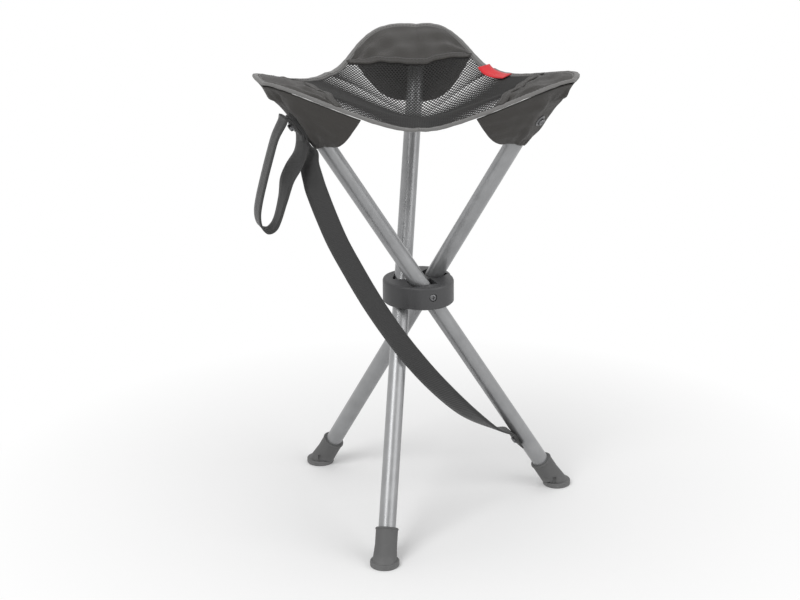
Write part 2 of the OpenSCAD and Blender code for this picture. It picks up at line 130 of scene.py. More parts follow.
def rim(i, q):
    """Rim point beside corner i, from the stool's middle: 0 at the corner, -1 and 1 at its edges' middles."""
    side = -1 if q < 0 else 1
    edge = LAST_EDGE[i] if q < 0 else NEXT_EDGE[i]
    az = CORNER_AZ[i]
    mid_az = az + side * math.pi / 3
    tip = polar(az, CORNER_R, CORNER_Z)
    mid = polar(mid_az, EDGE_R[edge], CORNER_Z - EDGE_DROP[edge])
    b = tip + polar(az + math.pi / 2, side * TIP_REACH[edge], TIP_LIFT)
    c = mid - polar(mid_az + math.pi / 2, side * MID_REACH[edge], MID_DIP)
    t = abs(q)
    return (1 - t) ** 3 * tip + 3 * (1 - t) ** 2 * t * b + 3 * (1 - t) * t * t * c + t ** 3 * mid


def rise(t):
    """The sling's height between its middle and its rim, from 0 to 1: a soft bowl, then nearly straight."""
    reach = math.sqrt(1 + BOWL * BOWL) - BOWL
    return (math.sqrt(t * t + BOWL * BOWL) - BOWL) / reach * (1 + 0.2 * math.sin(math.pi * min(t, 1)))


def sling(e, t):
    """A point of the sling on the way from its middle (t = 0) to rim point e (t = 1), in the row frame."""
    return MIDDLE + Vector((e.x * t, e.y * t, FLOOR_Z + (e.z - FLOOR_Z) * rise(t)))


def flat_len(e):
    """How far a rim point lies from the stool's axis, in plan."""
    return math.hypot(e.x, e.y)


def seam_t(i, e, further=0.0):
    """Where corner i's seam, or a line further out than it, crosses the way to rim point e."""
    return (SEAM_R[i] + further) / (e.x * math.cos(CORNER_AZ[i]) + e.y * math.sin(CORNER_AZ[i]))


def panel_reach(i, side):
    """How far round the rim the corner's woven panel runs, before its seam meets the binding."""
    low, high = 0.0, 1.0
    for _ in range(14):
        q = (low + high) / 2
        e = rim(i, side * q)
        if seam_t(i, e) < 1 - (BINDING_W + 0.0003) / flat_len(e) - 0.02:
            low = q
        else:
            high = q
    return low


# The rim as distance and height by azimuth, for points that lie anywhere on the sling
RIM_TABLE = sorted(
    (math.atan2(e.y, e.x), flat_len(e), e.z)
    for e in (rim(i, k / 60) for i in range(3) for k in range(-60, 60)))
RIM_AZ, RIM_DIST, RIM_HIGH = (np.array(column) for column in zip(*RIM_TABLE))


def over_plan(x, y):
    """The sling's point above a place in plan, from the stool's middle, and how far out it lies."""
    az = math.atan2(y, x)
    e = Vector((x, y, 0)).normalized() * float(np.interp(az, RIM_AZ, RIM_DIST, period=2 * math.pi))
    e.z = float(np.interp(az, RIM_AZ, RIM_HIGH, period=2 * math.pi))
    t = math.hypot(x, y) / flat_len(e)
    return sling(e, t), t


def ease(x, near, far):
    """1 up to near, 0 from far on, and smooth between."""
    t = min(max((far - x) / (far - near), 0), 1)
    return t * t * (3 - 2 * t)


def noise(x, y, seed=0.0):
    """A smooth, repeatable unevenness in about -1 to 1."""
    return (math.sin(1.7 * x + 2.3 * y + seed) + math.sin(2.9 * x - 1.3 * y + 2.1 * seed)
            + math.sin(0.8 * x + 3.7 * y - seed)) / 3


# ---------------------------------------------------------------- meshes

def finish_mesh(name, bm, material):
    """Turns a bmesh into a piece at the origin with its finish."""
    mesh = bpy.data.meshes.new(name)
    bm.to_mesh(mesh)
    bm.free()
    mesh.polygons.foreach_set("use_smooth", [True] * len(mesh.polygons))
    mesh.materials.append(material)
    obj = bpy.data.objects.new(name, mesh)
    bpy.context.scene.collection.objects.link(obj)
    return obj


def grid_surface(across, along, place, size):
    """A grid whose vertices place(u, v) sets, with UVs in metres from the surface's size."""
    bm = bmesh.new()
    bmesh.ops.create_grid(bm, x_segments=across, y_segments=along, size=0.5)
    layer = bm.loops.layers.uv.new("UVMap")
    spots = {v: (v.co.x + 0.5, v.co.y + 0.5) for v in bm.verts}
    for face in bm.faces:
        for loop in face.loops:
            u, v = spots[loop.vert]
            loop[layer].uv = (u * size[0], v * size[1])
    for vert, (u, v) in spots.items():
        vert.co = place(u, v)
    return bm


def cut_size(place, steps=40):
    """A sheet's flat width and length: the longest of three lines across it, and along it."""
    def run(line):
        return sum((line(k + 1) - line(k)).length for k in range(steps))

    widths = [run(lambda k: place(k / steps, v)) for v in (0, 0.5, 1)]
    lengths = [run(lambda k: place(u, k / steps)) for u in (0, 0.5, 1)]
    return max(widths), max(lengths)


def face_area(bm):
    """A sheet's area, in square metres, before it has a thickness."""
    return sum(face.calc_area() for face in bm.faces)


def thicken(bm, thickness):
    """Gives a sheet its thickness, half on each side."""
    bmesh.ops.recalc_face_normals(bm, faces=bm.faces)
    for v in bm.verts:
        v.co += v.normal * thickness / 2
    bmesh.ops.solidify(bm, geom=bm.faces[:], thickness=thickness)
    bmesh.ops.recalc_face_normals(bm, faces=bm.faces)


def spline(rows, steps):
    """Points on a smooth curve through the rows, which are lists of vectors of one length."""
    out = []
    for k in range(len(rows) - 1):
        a, b = rows[max(k - 1, 0)], rows[k]
        c, d = rows[k + 1], rows[min(k + 2, len(rows) - 1)]
        for n in range(steps):
            t = n / steps
            out.append([
                0.5 * ((2 * q) + (r - p) * t + (2 * p - 5 * q + 4 * r - s) * t * t
                       + (3 * q - p - 3 * r + s) * t ** 3)
                for p, q, r, s in zip(a, b, c, d)])
    out.append(list(rows[-1]))
    return out


def ribbon(rows, width, thickness, steps=8, cross=4):
    """A band of webbing through rows of (point, direction across its width)."""
    path = spline([[Vector(p), Vector(w)] for p, w in rows], steps)
    length = sum((path[k + 1][0] - path[k][0]).length for k in range(len(path) - 1))
    sides = []
    for k, (p, w) in enumerate(path):
        d = (path[min(k + 1, len(path) - 1)][0] - path[max(k - 1, 0)][0]).normalized()
        n = d.cross(w).normalized()
        sides.append((p, n.cross(d).normalized()))

    def place(u, v):
        p, a = sides[min(int(round(v * (len(sides) - 1))), len(sides) - 1)]
        return p + a * (u - 0.5) * width

    bm = grid_surface(cross, len(sides) - 1, place, (width, length))
    thicken(bm, thickness)
    return bm, length


def stitches(bm, path, pitch, length, radius, normal_lift):
    """Adds a row of thread stitches along a path of (point, normal)."""
    walked, due = 0.0, pitch / 2
    for k in range(len(path) - 1):
        (a, na), (b, _) = path[k], path[k + 1]
        step = (b - a).length
        while step > 0 and due <= walked + step:
            t = (due - walked) / step
            z = na.normalized()
            x = (b - a).normalized()
            y = z.cross(x).normalized()
            turn = Matrix((x, y, z)).transposed().to_4x4()
            where = Matrix.Translation(a.lerp(b, t) + z * normal_lift)
            scale = Matrix.Diagonal((length / 2, radius, radius, 1))
            bmesh.ops.create_icosphere(bm, subdivisions=1, radius=1.0, matrix=where @ turn @ scale)
            due += pitch
        walked += step


def blend_corner(obj, i):
    """Bakes the cloth piece's placement into its mesh."""
    out = polar(CORNER_AZ[i], 1, 0)
    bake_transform(obj)


# ---------------------------------------------------------------- shading

class Num:
    """A value socket that adds Math nodes when it is used in arithmetic."""

    def __init__(self, tree, socket):
        self.tree = tree
        self.socket = socket

    def math(self, operation, *others, swap=False):
        node = self.tree.nodes.new("ShaderNodeMath")
        node.operation = operation
        values = (*others, self) if swap else (self, *others)
        for slot, value in zip(node.inputs, values):
            if isinstance(value, Num):
                self.tree.links.new(value.socket, slot)
            else:
                slot.default_value = value
        return Num(self.tree, node.outputs[0])

    def __add__(self, other):
        return self.math("ADD", other)

    def __sub__(self, other):
        return self.math("SUBTRACT", other)

    def __mul__(self, other):
        return self.math("MULTIPLY", other)

    def __rsub__(self, other):
        return self.math("SUBTRACT", other, swap=True)

    __radd__ = __add__
    __rmul__ = __mul__

    def sine(self):
        return self.math("SINE")

    def absolute(self):
        return self.math("ABSOLUTE")

    def clamp(self):
        return self.math("MINIMUM", 1.0).math("MAXIMUM", 0.0)

    def power(self, n):
        return self.math("POWER", n)


class Finish:
    """Builds one material: node() makes any node, and surface() sets the shader."""

    def __init__(self, name):
        self.material = bpy.data.materials.new(name)
        self.material.use_nodes = True
        self.tree = self.material.node_tree
        self.tree.nodes.clear()
        self.out = self.tree.nodes.new("ShaderNodeOutputMaterial")

    def node(self, kind, output=0, settings=None, **inputs):
        node = self.tree.nodes.new(kind)
        for key, value in (settings or {}).items():
            setattr(node, key, value)
        for key, value in inputs.items():
            socket = node.inputs[key.replace("_", " ")]
            if isinstance(value, Num):
                self.tree.links.new(value.socket, socket)
            else:
                socket.default_value = value
        return Num(self.tree, node.outputs[output])

    def place(self, kind="Object"):
        """The three coordinates: Object, or the piece's UV map in metres."""
        at = self.node("ShaderNodeTexCoord", kind)
        split = self.tree.nodes.new("ShaderNodeSeparateXYZ")
        self.tree.links.new(at.socket, split.inputs[0])
        return at, [Num(self.tree, socket) for socket in split.outputs]

    def noise(self, at, scale, detail=3.0):
        return self.node("ShaderNodeTexNoise", 0, Vector=at, Scale=scale, Detail=detail)

    def mix(self, factor, a, b):
        node = self.tree.nodes.new("ShaderNodeMix")
        node.data_type = "RGBA"
        self.tree.links.new(factor.socket, node.inputs[0])
        for slot, colour in ((6, a), (7, b)):
            if isinstance(colour, Num):
                self.tree.links.new(colour.socket, node.inputs[slot])
            else:
                node.inputs[slot].default_value = (*colour, 1.0)
        return Num(self.tree, node.outputs[2])

    def tone(self, value, colour, low=0.85, high=1.15):
        """The colour, darker where value is low and lighter where it is high."""
        return self.mix(value, tinted(colour, low), tinted(colour, high))

    def bump(self, height, strength, distance):
        return self.node("ShaderNodeBump", 0, Height=height, Strength=strength, Distance=distance)

    def surface(self, colour, roughness, normal=None, **fixed):
        shader = self.tree.nodes.new("ShaderNodeBsdfPrincipled")
        for key, value in (("Base Color", colour), ("Roughness", roughness), ("Normal", normal)):
            if isinstance(value, Num):
                self.tree.links.new(value.socket, shader.inputs[key])
            elif isinstance(value, tuple):
                shader.inputs[key].default_value = (*value, 1.0)
            elif value is not None:
                shader.inputs[key].default_value = value
        for key, value in fixed.items():
            shader.inputs[key.replace("_", " ")].default_value = value
        self.tree.links.new(shader.outputs[0], self.out.inputs[0])
        return self.material


def sees_background(tree):
    """1 for the rays that show the white background: seen directly, mirrored or through glass."""
    rays = tree.nodes.new("ShaderNodeLightPath")
    seen = Num(tree, rays.outputs["Is Camera Ray"])
    for name in ("Is Glossy Ray", "Is Transmission Ray"):
        seen = seen.math("MAXIMUM", Num(tree, rays.outputs[name]))
    return seen


def tinted(colour, share):
    """The colour made darker or lighter."""
    return tuple(c * share for c in colour)


def powder_coat(colour):
    """Satin powder coat: fine orange peel, faint scuffs."""
    f = Finish("powder_coat")
    at, _ = f.place()
    scuff = f.noise(at, 60.0, 5.0)
    peel = f.noise(at, 2600.0, 2.0)
    tone = ((scuff - 0.5) * 2.4 + 0.5).clamp()
    return f.surface(
        f.mix(tone, tinted(colour, 0.88), tinted(colour, 1.08)), tone * 0.10 + 0.28,
        f.bump(peel, 0.25, 0.0002), Metallic=0.55, Coat_Weight=0.12, Coat_Roughness=0.25)


def moulded_plastic(colour):
    """Satin moulded nylon with a fine spark-eroded grain."""
    f = Finish("moulded_plastic")
    at, _ = f.place()
    grain = f.noise(at, 1900.0, 3.0)
    cloud = f.noise(at, 70.0, 3.0)
    return f.surface(
        f.mix(cloud, tinted(colour, 0.85), tinted(colour, 1.15)), cloud * 0.12 + 0.42,
        f.bump(grain, 0.3, 0.0002))


def moulded_rubber(colour):
    """Matt rubber with a dusty bloom low down."""
    f = Finish("moulded_rubber")
    at, (_, _, z) = f.place()
    grain = f.noise(at, 1300.0, 4.0)
    cloud = f.noise(at, 120.0, 4.0)
    dust = ((0.012 - z) * 90.0).clamp() * cloud
    return f.surface(
        f.mix(dust, f.tone(cloud, colour), tinted(colour, 1.9)), cloud * 0.15 + 0.58,
        f.bump(grain, 0.35, 0.0003))


def plated_steel():
    """Darkened steel, brushed by handling."""
    f = Finish("plated_steel")
    at, _ = f.place()
    brushed = f.noise(at, 900.0, 4.0)
    return f.surface(
        f.mix(brushed, (0.10, 0.10, 0.105), (0.24, 0.24, 0.245)), brushed * 0.2 + 0.24,
        f.bump(brushed, 0.15, 0.0001), Metallic=1.0)


def woven(name, colour, thread, bold=1.0, sheen=0.15):
    """Plain weave: threads cross over and under, on the piece's UV map in metres; painted shade darkens the
    colour between the threads.
    """
    f = Finish(name)
    at, (u, v, _) = f.place("UV")
    turns = math.pi / thread
    warp = (u * turns).sine()
    weft = (v * turns).sine()
    over = (u * turns * 0.5).sine() * (v * turns * 0.5).sine()
    height = warp.absolute() * (over * 0.5 + 0.5) + weft.absolute() * (0.5 - over * 0.5)
    cloud = f.noise(at, 45.0, 4.0)
    thread_tone = f.noise(at, 1400.0, 2.0)
    # The colour follows the thread height: painted shade between the threads and a painted highlight on their
    # crowns, over random cloud and thread tone.
    tone = (height * 0.35 + cloud * 0.45 + thread_tone * 0.2).clamp()
    return f.surface(
        f.tone(tone, colour, 0.62, 1.32), cloud * 0.12 + 0.72, f.bump(height, 0.55 * bold, thread * 0.6),
        Sheen_Weight=sheen, Sheen_Roughness=0.5)


def ribbed(name, colour, rib, sheen=0.2):
    """Tape or webbing: ribs across the band and a fine thread along it, with painted shade in the grooves
    between them.
    """
    f = Finish(name)
    at, (u, v, _) = f.place("UV")
    across = (v * (2 * math.pi / rib)).sine() * 0.5 + 0.5
    along = (u * (2 * math.pi / (rib * 0.8))).sine() * 0.5 + 0.5
    height = across * 0.65 + along * 0.35
    cloud = f.noise(at, 60.0, 4.0)
    # The colour follows the rib height: painted shade in the grooves and a painted highlight on the ribs,
    # over random cloud.
    tone = (height * 0.4 + cloud * 0.6).clamp()
    return f.surface(
        f.tone(tone, colour, 0.7, 1.28), cloud * 0.1 + 0.66, f.bump(height, 0.5, rib * 0.4),
        Sheen_Weight=sheen, Sheen_Roughness=0.45)


def spun_thread(name, colour):
    """Sewing thread or net yarn with a light twist."""
    f = Finish(name)
    at, (x, y, z) = f.place()
    twist = ((x + y + z) * 5200.0).sine() * 0.5 + 0.5
    cloud = f.noise(at, 80.0, 2.0)
    return f.surface(f.tone(cloud, colour, 0.8, 1.25), cloud * 0.1 + 0.55, f.bump(twist, 0.25, 0.0001))


MADE = {}


def finish_of(key):
    """The stool's materials, made once, in the colours of the panel."""
    if not MADE:
        c = bpy.context.scene.stool_colours
        MADE.update(
            tube=powder_coat(tuple(c.tube)), plastic=moulded_plastic(tuple(c.plastic)),
            rubber=moulded_rubber(tuple(c.rubber)), steel=plated_steel(),
            cloth=woven("coated_cloth", tuple(c.cloth), 0.0007), net=spun_thread("net_yarn", tuple(c.net)),
            tape=ribbed("binding_tape", tuple(c.tape), 0.0011),
            webbing=ribbed("strap_webbing", tuple(c.webbing), 0.0013),
            tag=ribbed("tag_ribbon", tuple(c.tag), 0.0006),
            thread=spun_thread("sewing_thread", tuple(c.thread)))
    return MADE[key]


# ---------------------------------------------------------------- settings

def colour_prop(name, text, default):
    return bpy.props.FloatVectorProperty(
        name=name, description=text, subtype="COLOR", size=3, min=0, max=1, default=default)


def length_prop(name, text, default):
    return bpy.props.FloatProperty(
        name=name, description=text, subtype="DISTANCE", unit="LENGTH", default=default)


class StoolColours(bpy.types.PropertyGroup):
    """Colours of the stool's materials."""
    tube: colour_prop("Tubes", "Powder coat of the leg tubes", (0.300, 0.303, 0.308))
    plastic: colour_prop("Hub", "Moulded hub and plugs", (0.052, 0.052, 0.054))
    rubber: colour_prop("Feet", "Rubber feet", (0.100, 0.100, 0.100))
    cloth: colour_prop("Cloth", "Woven corner panels and pockets", (0.029, 0.026, 0.023))
    net: colour_prop("Net", "Yarn of the seat net", (0.015, 0.0145, 0.014))
    tape: colour_prop("Tape", "Binding tape round the seat", (0.165, 0.162, 0.158))
    webbing: colour_prop("Webbing", "Carrying strap and its loop", (0.026, 0.026, 0.026))
    tag: colour_prop("Tag", "Ribbon tag", (0.70, 0.014, 0.022))
    thread: colour_prop("Thread", "Sewing thread", (0.060, 0.056, 0.052))


class StoolSizes(bpy.types.PropertyGroup):
    """Sizes that the cloth pieces are made to."""
    net_pitch: length_prop("Net pitch", "Distance between the net's holes", 0.0031)
    net_yarn: length_prop("Net yarn", "Thickness of the net's yarn", 0.0009)
    stitch_pitch: length_prop("Stitch pitch", "Distance from one stitch to the next", 0.0034)
    strap_width: length_prop("Strap width", "Width of the carrying strap", 0.020)
    tag_width: length_prop("Tag width", "Width of the ribbon tag", 0.0125)


# ---------------------------------------------------------------- pieces

class STOOL_OT_finishes(bpy.types.Operator):
    """Gives every rigid CAD piece its finish."""
    bl_idname = "stool.finishes"
    bl_label = "Finish the rigid pieces"

    def execute(self, context):
        kinds = {"tube": "tube", "foot": "rubber", "plug": "plastic", "block": "plastic", "screw": "steel",
                 "screws": "steel", "washer": "steel", "pocket": "cloth", "panel": "cloth", "mesh": "net",
                 "binding": "tape", "tag": "tag", "strap": "webbing", "loop": "webbing"}
        for name, node in frame["nodes"].items():
            node.data.materials.clear()
            node.data.materials.append(finish_of(kinds[name.split("_")[-1]]))
        return {"FINISHED"}


class STOOL_OT_net(bpy.types.Operator):
    """Knits the seat's net: hexagonal holes, in three parts that meet between the corners."""
    bl_idname = "stool.net"
    bl_label = "Seat net"

    def execute(self, context):
        size = context.scene.stool_sizes
        for i, name in enumerate(LEGS):
            bm = bmesh.new()
            out = polar(CORNER_AZ[i], 1, 0)
            pitch = size.net_pitch
            reach = int(CORNER_R / pitch) + 2
            for row in range(-reach, reach):
                for column in range(-reach, reach):
                    x = (column + 0.5 * (row % 2)) * pitch
                    y = row * pitch * math.sqrt(3) / 2
                    az = math.atan2(y, x)
                    turn = (az - CORNER_AZ[i] + math.pi) % (2 * math.pi) - math.pi
                    if not -math.pi / 3 <= turn < math.pi / 3:
                        continue
                    _, t = over_plan(x, y) if (x or y) else (None, 0)
                    if x * out.x + y * out.y > SEAM_R[i] + 0.004 or t > 0.985 - BINDING_W * 0.35 / 0.1:
                        continue
                    bmesh.ops.create_circle(
                        bm, cap_ends=True, segments=6, radius=pitch / math.sqrt(3),
                        matrix=Matrix.Translation((x, y, 0)) @ Matrix.Rotation(math.pi / 6, 4, "Z"))
            bmesh.ops.remove_doubles(bm, verts=bm.verts, dist=pitch * 0.05)
            for v in bm.verts:
                v.co = over_plan(v.co.x, v.co.y)[0] - UP * 0.0004
            bmesh.ops.recalc_face_normals(bm, faces=bm.faces)
            area = face_area(bm)
            aside = [v.co.dot(polar(CORNER_AZ[i] + math.pi / 2, 1, 0)) for v in bm.verts]
            inward = [over_plan(out.x * r, out.y * r)[0] for r in np.linspace(0.001, SEAM_R[i], 30)]
            length = sum((b - a).length for a, b in zip(inward, inward[1:]))
            bmesh.ops.wireframe(
                bm, faces=bm.faces, thickness=size.net_yarn, use_replace=True, use_boundary=True,
                use_even_offset=False)
            obj = finish_mesh(f"seat_net_{name}", bm, finish_of("net"))
            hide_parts("seat_mesh")
            blend_corner(obj, i)
        return {"FINISHED"}


class STOOL_OT_binding(bpy.types.Operator):
    """Folds the tape round the rim, a third of it from each corner, and sews it."""
    bl_idname = "stool.binding"
    bl_label = "Edge binding"

    def execute(self, context):
        pitch = context.scene.stool_sizes.stitch_pitch
        rows = 96
        # The tape's section: distance in from the rim, over its width, and height, over its thickness
        profile = [(1.0, 0.24), (0.7, 0.38), (0.35, 0.44), (0.1, 0.40), (0.0, 0.16),
                   (0.0, -0.16), (0.1, -0.40), (0.35, -0.44), (0.7, -0.38), (1.0, -0.24), (1.0, 0.24)]
        for i, name in enumerate(LEGS):

            def section(q, part):
                e = rim(i, q)
                depth, height = part
                wave = 0.0003 * noise(q * 30, depth * 3, i)
                return sling(e, 1 - depth * BINDING_W / flat_len(e)) + UP * (height * BINDING_T + wave)

            def place(u, v):
                return section(2 * v - 1, profile[int(round(u * (len(profile) - 1)))])

            bm = grid_surface(len(profile) - 1, rows, place, (2 * BINDING_W, 0.3))
            bmesh.ops.remove_doubles(bm, verts=bm.verts, dist=1e-6)
            ends = [e for e in bm.edges if e.is_boundary]
            bmesh.ops.holes_fill(bm, edges=ends, sides=0)
            bmesh.ops.recalc_face_normals(bm, faces=bm.faces)
            obj = finish_mesh(f"edge_tape_{name}", bm, finish_of("tape"))
            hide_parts("edge_binding")
            blend_corner(obj, i)
            bm = bmesh.new()
            along_rim = [k / rows * 2 - 1 for k in range(rows + 1)]
            for side in (1, -1):
                path = [(section(q, (0.8, side * 0.40)), UP * side) for q in along_rim]
                stitches(bm, path, pitch, pitch * 0.72, 0.00032, 0.0001)
            thread = finish_mesh(f"edge_stitches_{name}", bm, finish_of("thread"))
            blend_corner(thread, i)
        return {"FINISHED"}


class STOOL_OT_panels(bpy.types.Operator):
    """Cuts the woven panel of each corner, with a hem at its seam and two rows of stitches."""
    bl_idname = "stool.panels"
    bl_label = "Corner panels"

    def execute(self, context):
        pitch = context.scene.stool_sizes.stitch_pitch
        hem = 0.009
        for i, name in enumerate(LEGS):
            ends = (-panel_reach(i, -1), panel_reach(i, 1))

            def at(q, depth, lift=0.0):
                e = rim(i, q)
                wavy = 0.0022 * noise(q * 9, 0.0, 1 + i)
                inside, outside = seam_t(i, e, wavy), 1 - 0.4 * BINDING_W / flat_len(e)
                t = inside + (outside - inside) * depth
                puff = 0.0021 * noise(q * 8, depth * 4, 3 + i) * math.sin(math.pi * depth)
                return sling(e, t) + UP * (lift + puff)

            def place(u, v):
                return at(ends[0] + (ends[1] - ends[0]) * u, v)

            flat = cut_size(place)
            bm = grid_surface(64, 28, place, flat)
            area = face_area(bm)
            thicken(bm, 0.0011)
            obj = finish_mesh(f"corner_panel_{name}", bm, finish_of("cloth"))
            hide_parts(name + "_panel")
            blend_corner(obj, i)

            def hem_place(u, v):
                q = ends[0] + (ends[1] - ends[0]) * u
                e = rim(i, q)
                t = seam_t(i, e, 0.0022 * noise(q * 9, 0.0, 1 + i) - 0.001 + hem * v)
                return sling(e, min(t, 1 - 0.5 * BINDING_W / flat_len(e))) + UP * (0.0013 - 0.0005 * v)

            bm = grid_surface(64, 4, hem_place, (flat[0], hem))
            thicken(bm, 0.0009)
            for depth in (0.22, 0.8):
                path = [(hem_place(k / 56, depth), UP) for k in range(57)]
                stitches(bm, path, pitch, pitch * 0.7, 0.0003, 0.0005)
            strip = finish_mesh(f"corner_hem_{name}", bm, finish_of("cloth"))
            blend_corner(strip, i)
        return {"FINISHED"}


def pocket_point(i, v, w):
    """A point of corner i's pocket: v from side to side, w from the hem on the tube up to the rim."""
    leg = LEG[LEGS[i]]
    cloth_r = CLOTH_Y + CLOTH_T / 2

    def top(side):
        e = rim(i, side * POCKET_REACH)
        return sling(e, 1 - BINDING_W / 2 / flat_len(e)) - UP * (BINDING_T / 2 + 0.0012)

    def hem(side):
        return leg.at(UPPER_LEN - POCKET_LEN + 0.004, side * HEM_WRAP, cloth_r)

    p = hem(v).lerp(top(v), w)
    screw_w = (POCKET_LEN - 0.009) / (top(0) - hem(0)).length
    lift = (p - leg.pivot).dot(leg.under) - cloth_r
    flat = ease(abs(v), 0.2, 0.55) * ease(abs(w - screw_w), 0.13, 0.45)
    p = p - leg.under * lift * flat
    # the sides hang out past a straight line, loose round the tube
    side = -1 if v < 0 else 1
    loose = v * v * math.sin(math.pi * min(w, 1) ** 0.62)
    p = p + leg.across * side * 0.0075 * loose - UP * 0.0065 * loose
    # folds that run out from the screw, deepest half way to the rim
    dx, dy = v * 1.5, w - screw_w
    far = math.hypot(dx, dy)
    angle = math.atan2(dy, dx)
    fold = sum(
        depth * math.exp(-((angle - math.radians(a)) / spread) ** 2)
        for a, spread, depth in ((28, 0.16, 1.0), (62, 0.13, -0.7), (96, 0.14, 0.8), (132, 0.15, -0.6),
                                 (155, 0.13, 0.9), (-18, 0.2, 0.7), (-160, 0.18, 0.6)))
    strength = ease(abs(far - 0.42), 0.0, 0.42) * (1 - flat) * min(w * 6, 1) * min((1 - w) * 6, 1)
    crease = 0.0052 * fold * strength + 0.0008 * noise(v * 9, w * 7, 5 + i) * (1 - flat) * min((1 - w) * 4, 1)
    return p + (leg.under * 0.8 - UP * 0.1) * crease


class STOOL_OT_pockets(bpy.types.Operator):
    """Shapes the cloth pocket over each tube's end, pulled in at its screw."""
    bl_idname = "stool.pockets"
    bl_label = "Corner pockets"

    def execute(self, context):
        pitch = context.scene.stool_sizes.stitch_pitch
        for i, name in enumerate(LEGS):

            def place(u, v):
                return pocket_point(i, 2 * u - 1, v)

            flat = cut_size(place)
            bm = grid_surface(72, 44, place, flat)
            area = face_area(bm)
            thicken(bm, 0.0012)
            for w in (0.05, 0.09):
                path = []
                for k in range(41):
                    p = pocket_point(i, k / 20 - 1, w)
                    centre = LEG[name].at((p - LEG[name].pivot).dot(LEG[name].along))
                    path.append((p, p - centre))
                stitches(bm, path, pitch, pitch * 0.7, 0.0003, 0.0007)
            obj = finish_mesh(f"corner_pocket_{name}", bm, finish_of("cloth"))
            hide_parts(name + "_pocket")
            blend_corner(obj, i)
        return {"FINISHED"}


def stool_point(p):
    """A route point, in millimetres from the hub's middle, in the row frame."""
    return MIDDLE + Vector(p) / 1000


def stack(s, out, layer):
    """A webbing row over the left leg's corner screw, out from the cloth in its layer."""
    leg = LEG["left"]
    r = CLOTH_Y + CLOTH_T + LAYER_GAP + STRAP_T / 2 + layer * (STRAP_T + LAYER_GAP)
    return leg.at(SCREW_S + s, 0, r + out), leg.across


# Routes of the webbing: a point, and the direction across the band there
STRAP_ROUTE = [
    ((-97, -61, 149), (0.5, -0.9, 0.1)),
    ((-97, -72, 140), (0.8, -0.5, 0.3)),
    ((-94, -79, 129), (0.9, -0.3, 0.4)),
    ((-91, -82, 119), (0.9, -0.2, 0.4)),
    ((-83, -82, 96), (0.9, -0.2, 0.4)),
    ((-73, -80, 70), (0.9, -0.2, 0.4)),
    ((-60, -77, 43), (0.8, -0.2, 0.5)),
    ((-48, -73, 19), (0.8, -0.2, 0.5)),
    ((-38, -68, 0), (0.8, -0.2, 0.5)),
    ((-25, -61, -23), (0.8, -0.2, 0.5)),
    ((-8, -50, -51), (0.7, -0.2, 0.6)),
    ((15, -36, -84), (0.6, -0.3, 0.6)),
    ((44, -14, -121), (0.5, -0.5, 0.5)),
    ((72, 6, -148), (0.4, -0.8, 0.2))]
LOOP_ROUTE = [
    ((-127, -71, 166), (0.3, -0.9, 0)),
    ((-132, -76, 150), (0.3, -0.9, 0)),
    ((-137, -80, 132), (0.3, -0.9, 0)),
    ((-142, -82, 112), (0.3, -0.9, 0)),
    ((-144, -82, 98), (0.3, -0.9, 0)),
    ((-142, -82, 88), (0.3, -0.9, 0)),
    ((-136, -82, 84), (0.3, -0.9, 0)),
    ((-130, -82, 87), (0.3, -0.9, 0)),
    ((-126, -82, 95), (0.3, -0.9, 0)),
    ((-121, -83, 113), (0.4, -0.9, 0)),
    ((-117, -83, 130), (0.6, -0.8, 0)),
    ((-111, -78, 141), (0.7, -0.7, 0)),
    ((-106, -68, 151), (0.5, -0.9, 0))]


class STOOL_OT_straps(bpy.types.Operator):
    """Hangs the carrying strap and its hand loop from the left leg's corner screw."""
    bl_idname = "stool.straps"
    bl_label = "Carrying strap"

    def execute(self, context):
        width = context.scene.stool_sizes.strap_width
        leg = LEG["left"]
        free = [(stool_point(p), Vector(w)) for p, w in STRAP_ROUTE]
        low = TUBE_R + LAYER_GAP + STRAP_T / 2
        rows = ([stack(0.008, 0, 0), stack(0, 0, 0), stack(-0.008, 0, 0), stack(-0.016, 0.002, 0)] + free
                + [(leg.at(STRAP_SCREW_S + d, 0, low), leg.across) for d in (0.010, 0, -0.008)])
        bm, length = ribbon(rows, width, 0.0014)
        strap = finish_mesh("carrying_strap", bm, finish_of("webbing"))
        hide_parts("carry_strap")
        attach(strap, "left_leg")
        free = [(stool_point(p), Vector(w)) for p, w in LOOP_ROUTE]
        fold = [stack(-0.008, 0, 2), stack(0, 0, 2), stack(0.008, 0, 2), stack(0.012, 0.0025, 2),
                stack(0.009, 0.006, 2)]
        back = [stack(-0.016, 0.004, 1), stack(-0.008, 0, 1), stack(0, 0, 1), stack(0.008, 0, 1)]
        bm, length = ribbon(fold + free + back, width, 0.0014)
        loop = finish_mesh("hand_loop", bm, finish_of("webbing"))
        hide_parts("strap_loop")
        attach(loop, "left_leg")
        return {"FINISHED"}


class STOOL_OT_tag(bpy.types.Operator):
    """Folds the ribbon tag that is sewn in at the back right edge, blank on both sides."""
    bl_idname = "stool.tag"
    bl_label = "Ribbon tag"

    def execute(self, context):
        width = context.scene.stool_sizes.tag_width
        rows = []
        # The tag's run along the rim: the corner, the place beside it, and the height off the seat there
        run = ((2, 0.76, 0), (2, 0.85, 0.0006), (2, 0.95, 0.0022), (0, -0.96, 0.0056))
        for i, q, lift in run:
            e = rim(i, q)
            t = 1 - (0.8 * BINDING_W + width / 2) / flat_len(e)
            rows.append((sling(e, t) + UP * (0.0018 + lift), Vector((e.x, e.y, 0.2 * flat_len(e)))))
        bm, length = ribbon(rows, width, 0.0008)
        tag = finish_mesh("ribbon_tag", bm, finish_of("tag"))
        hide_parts("side_tag")
        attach(tag, "hub")
        return {"FINISHED"}


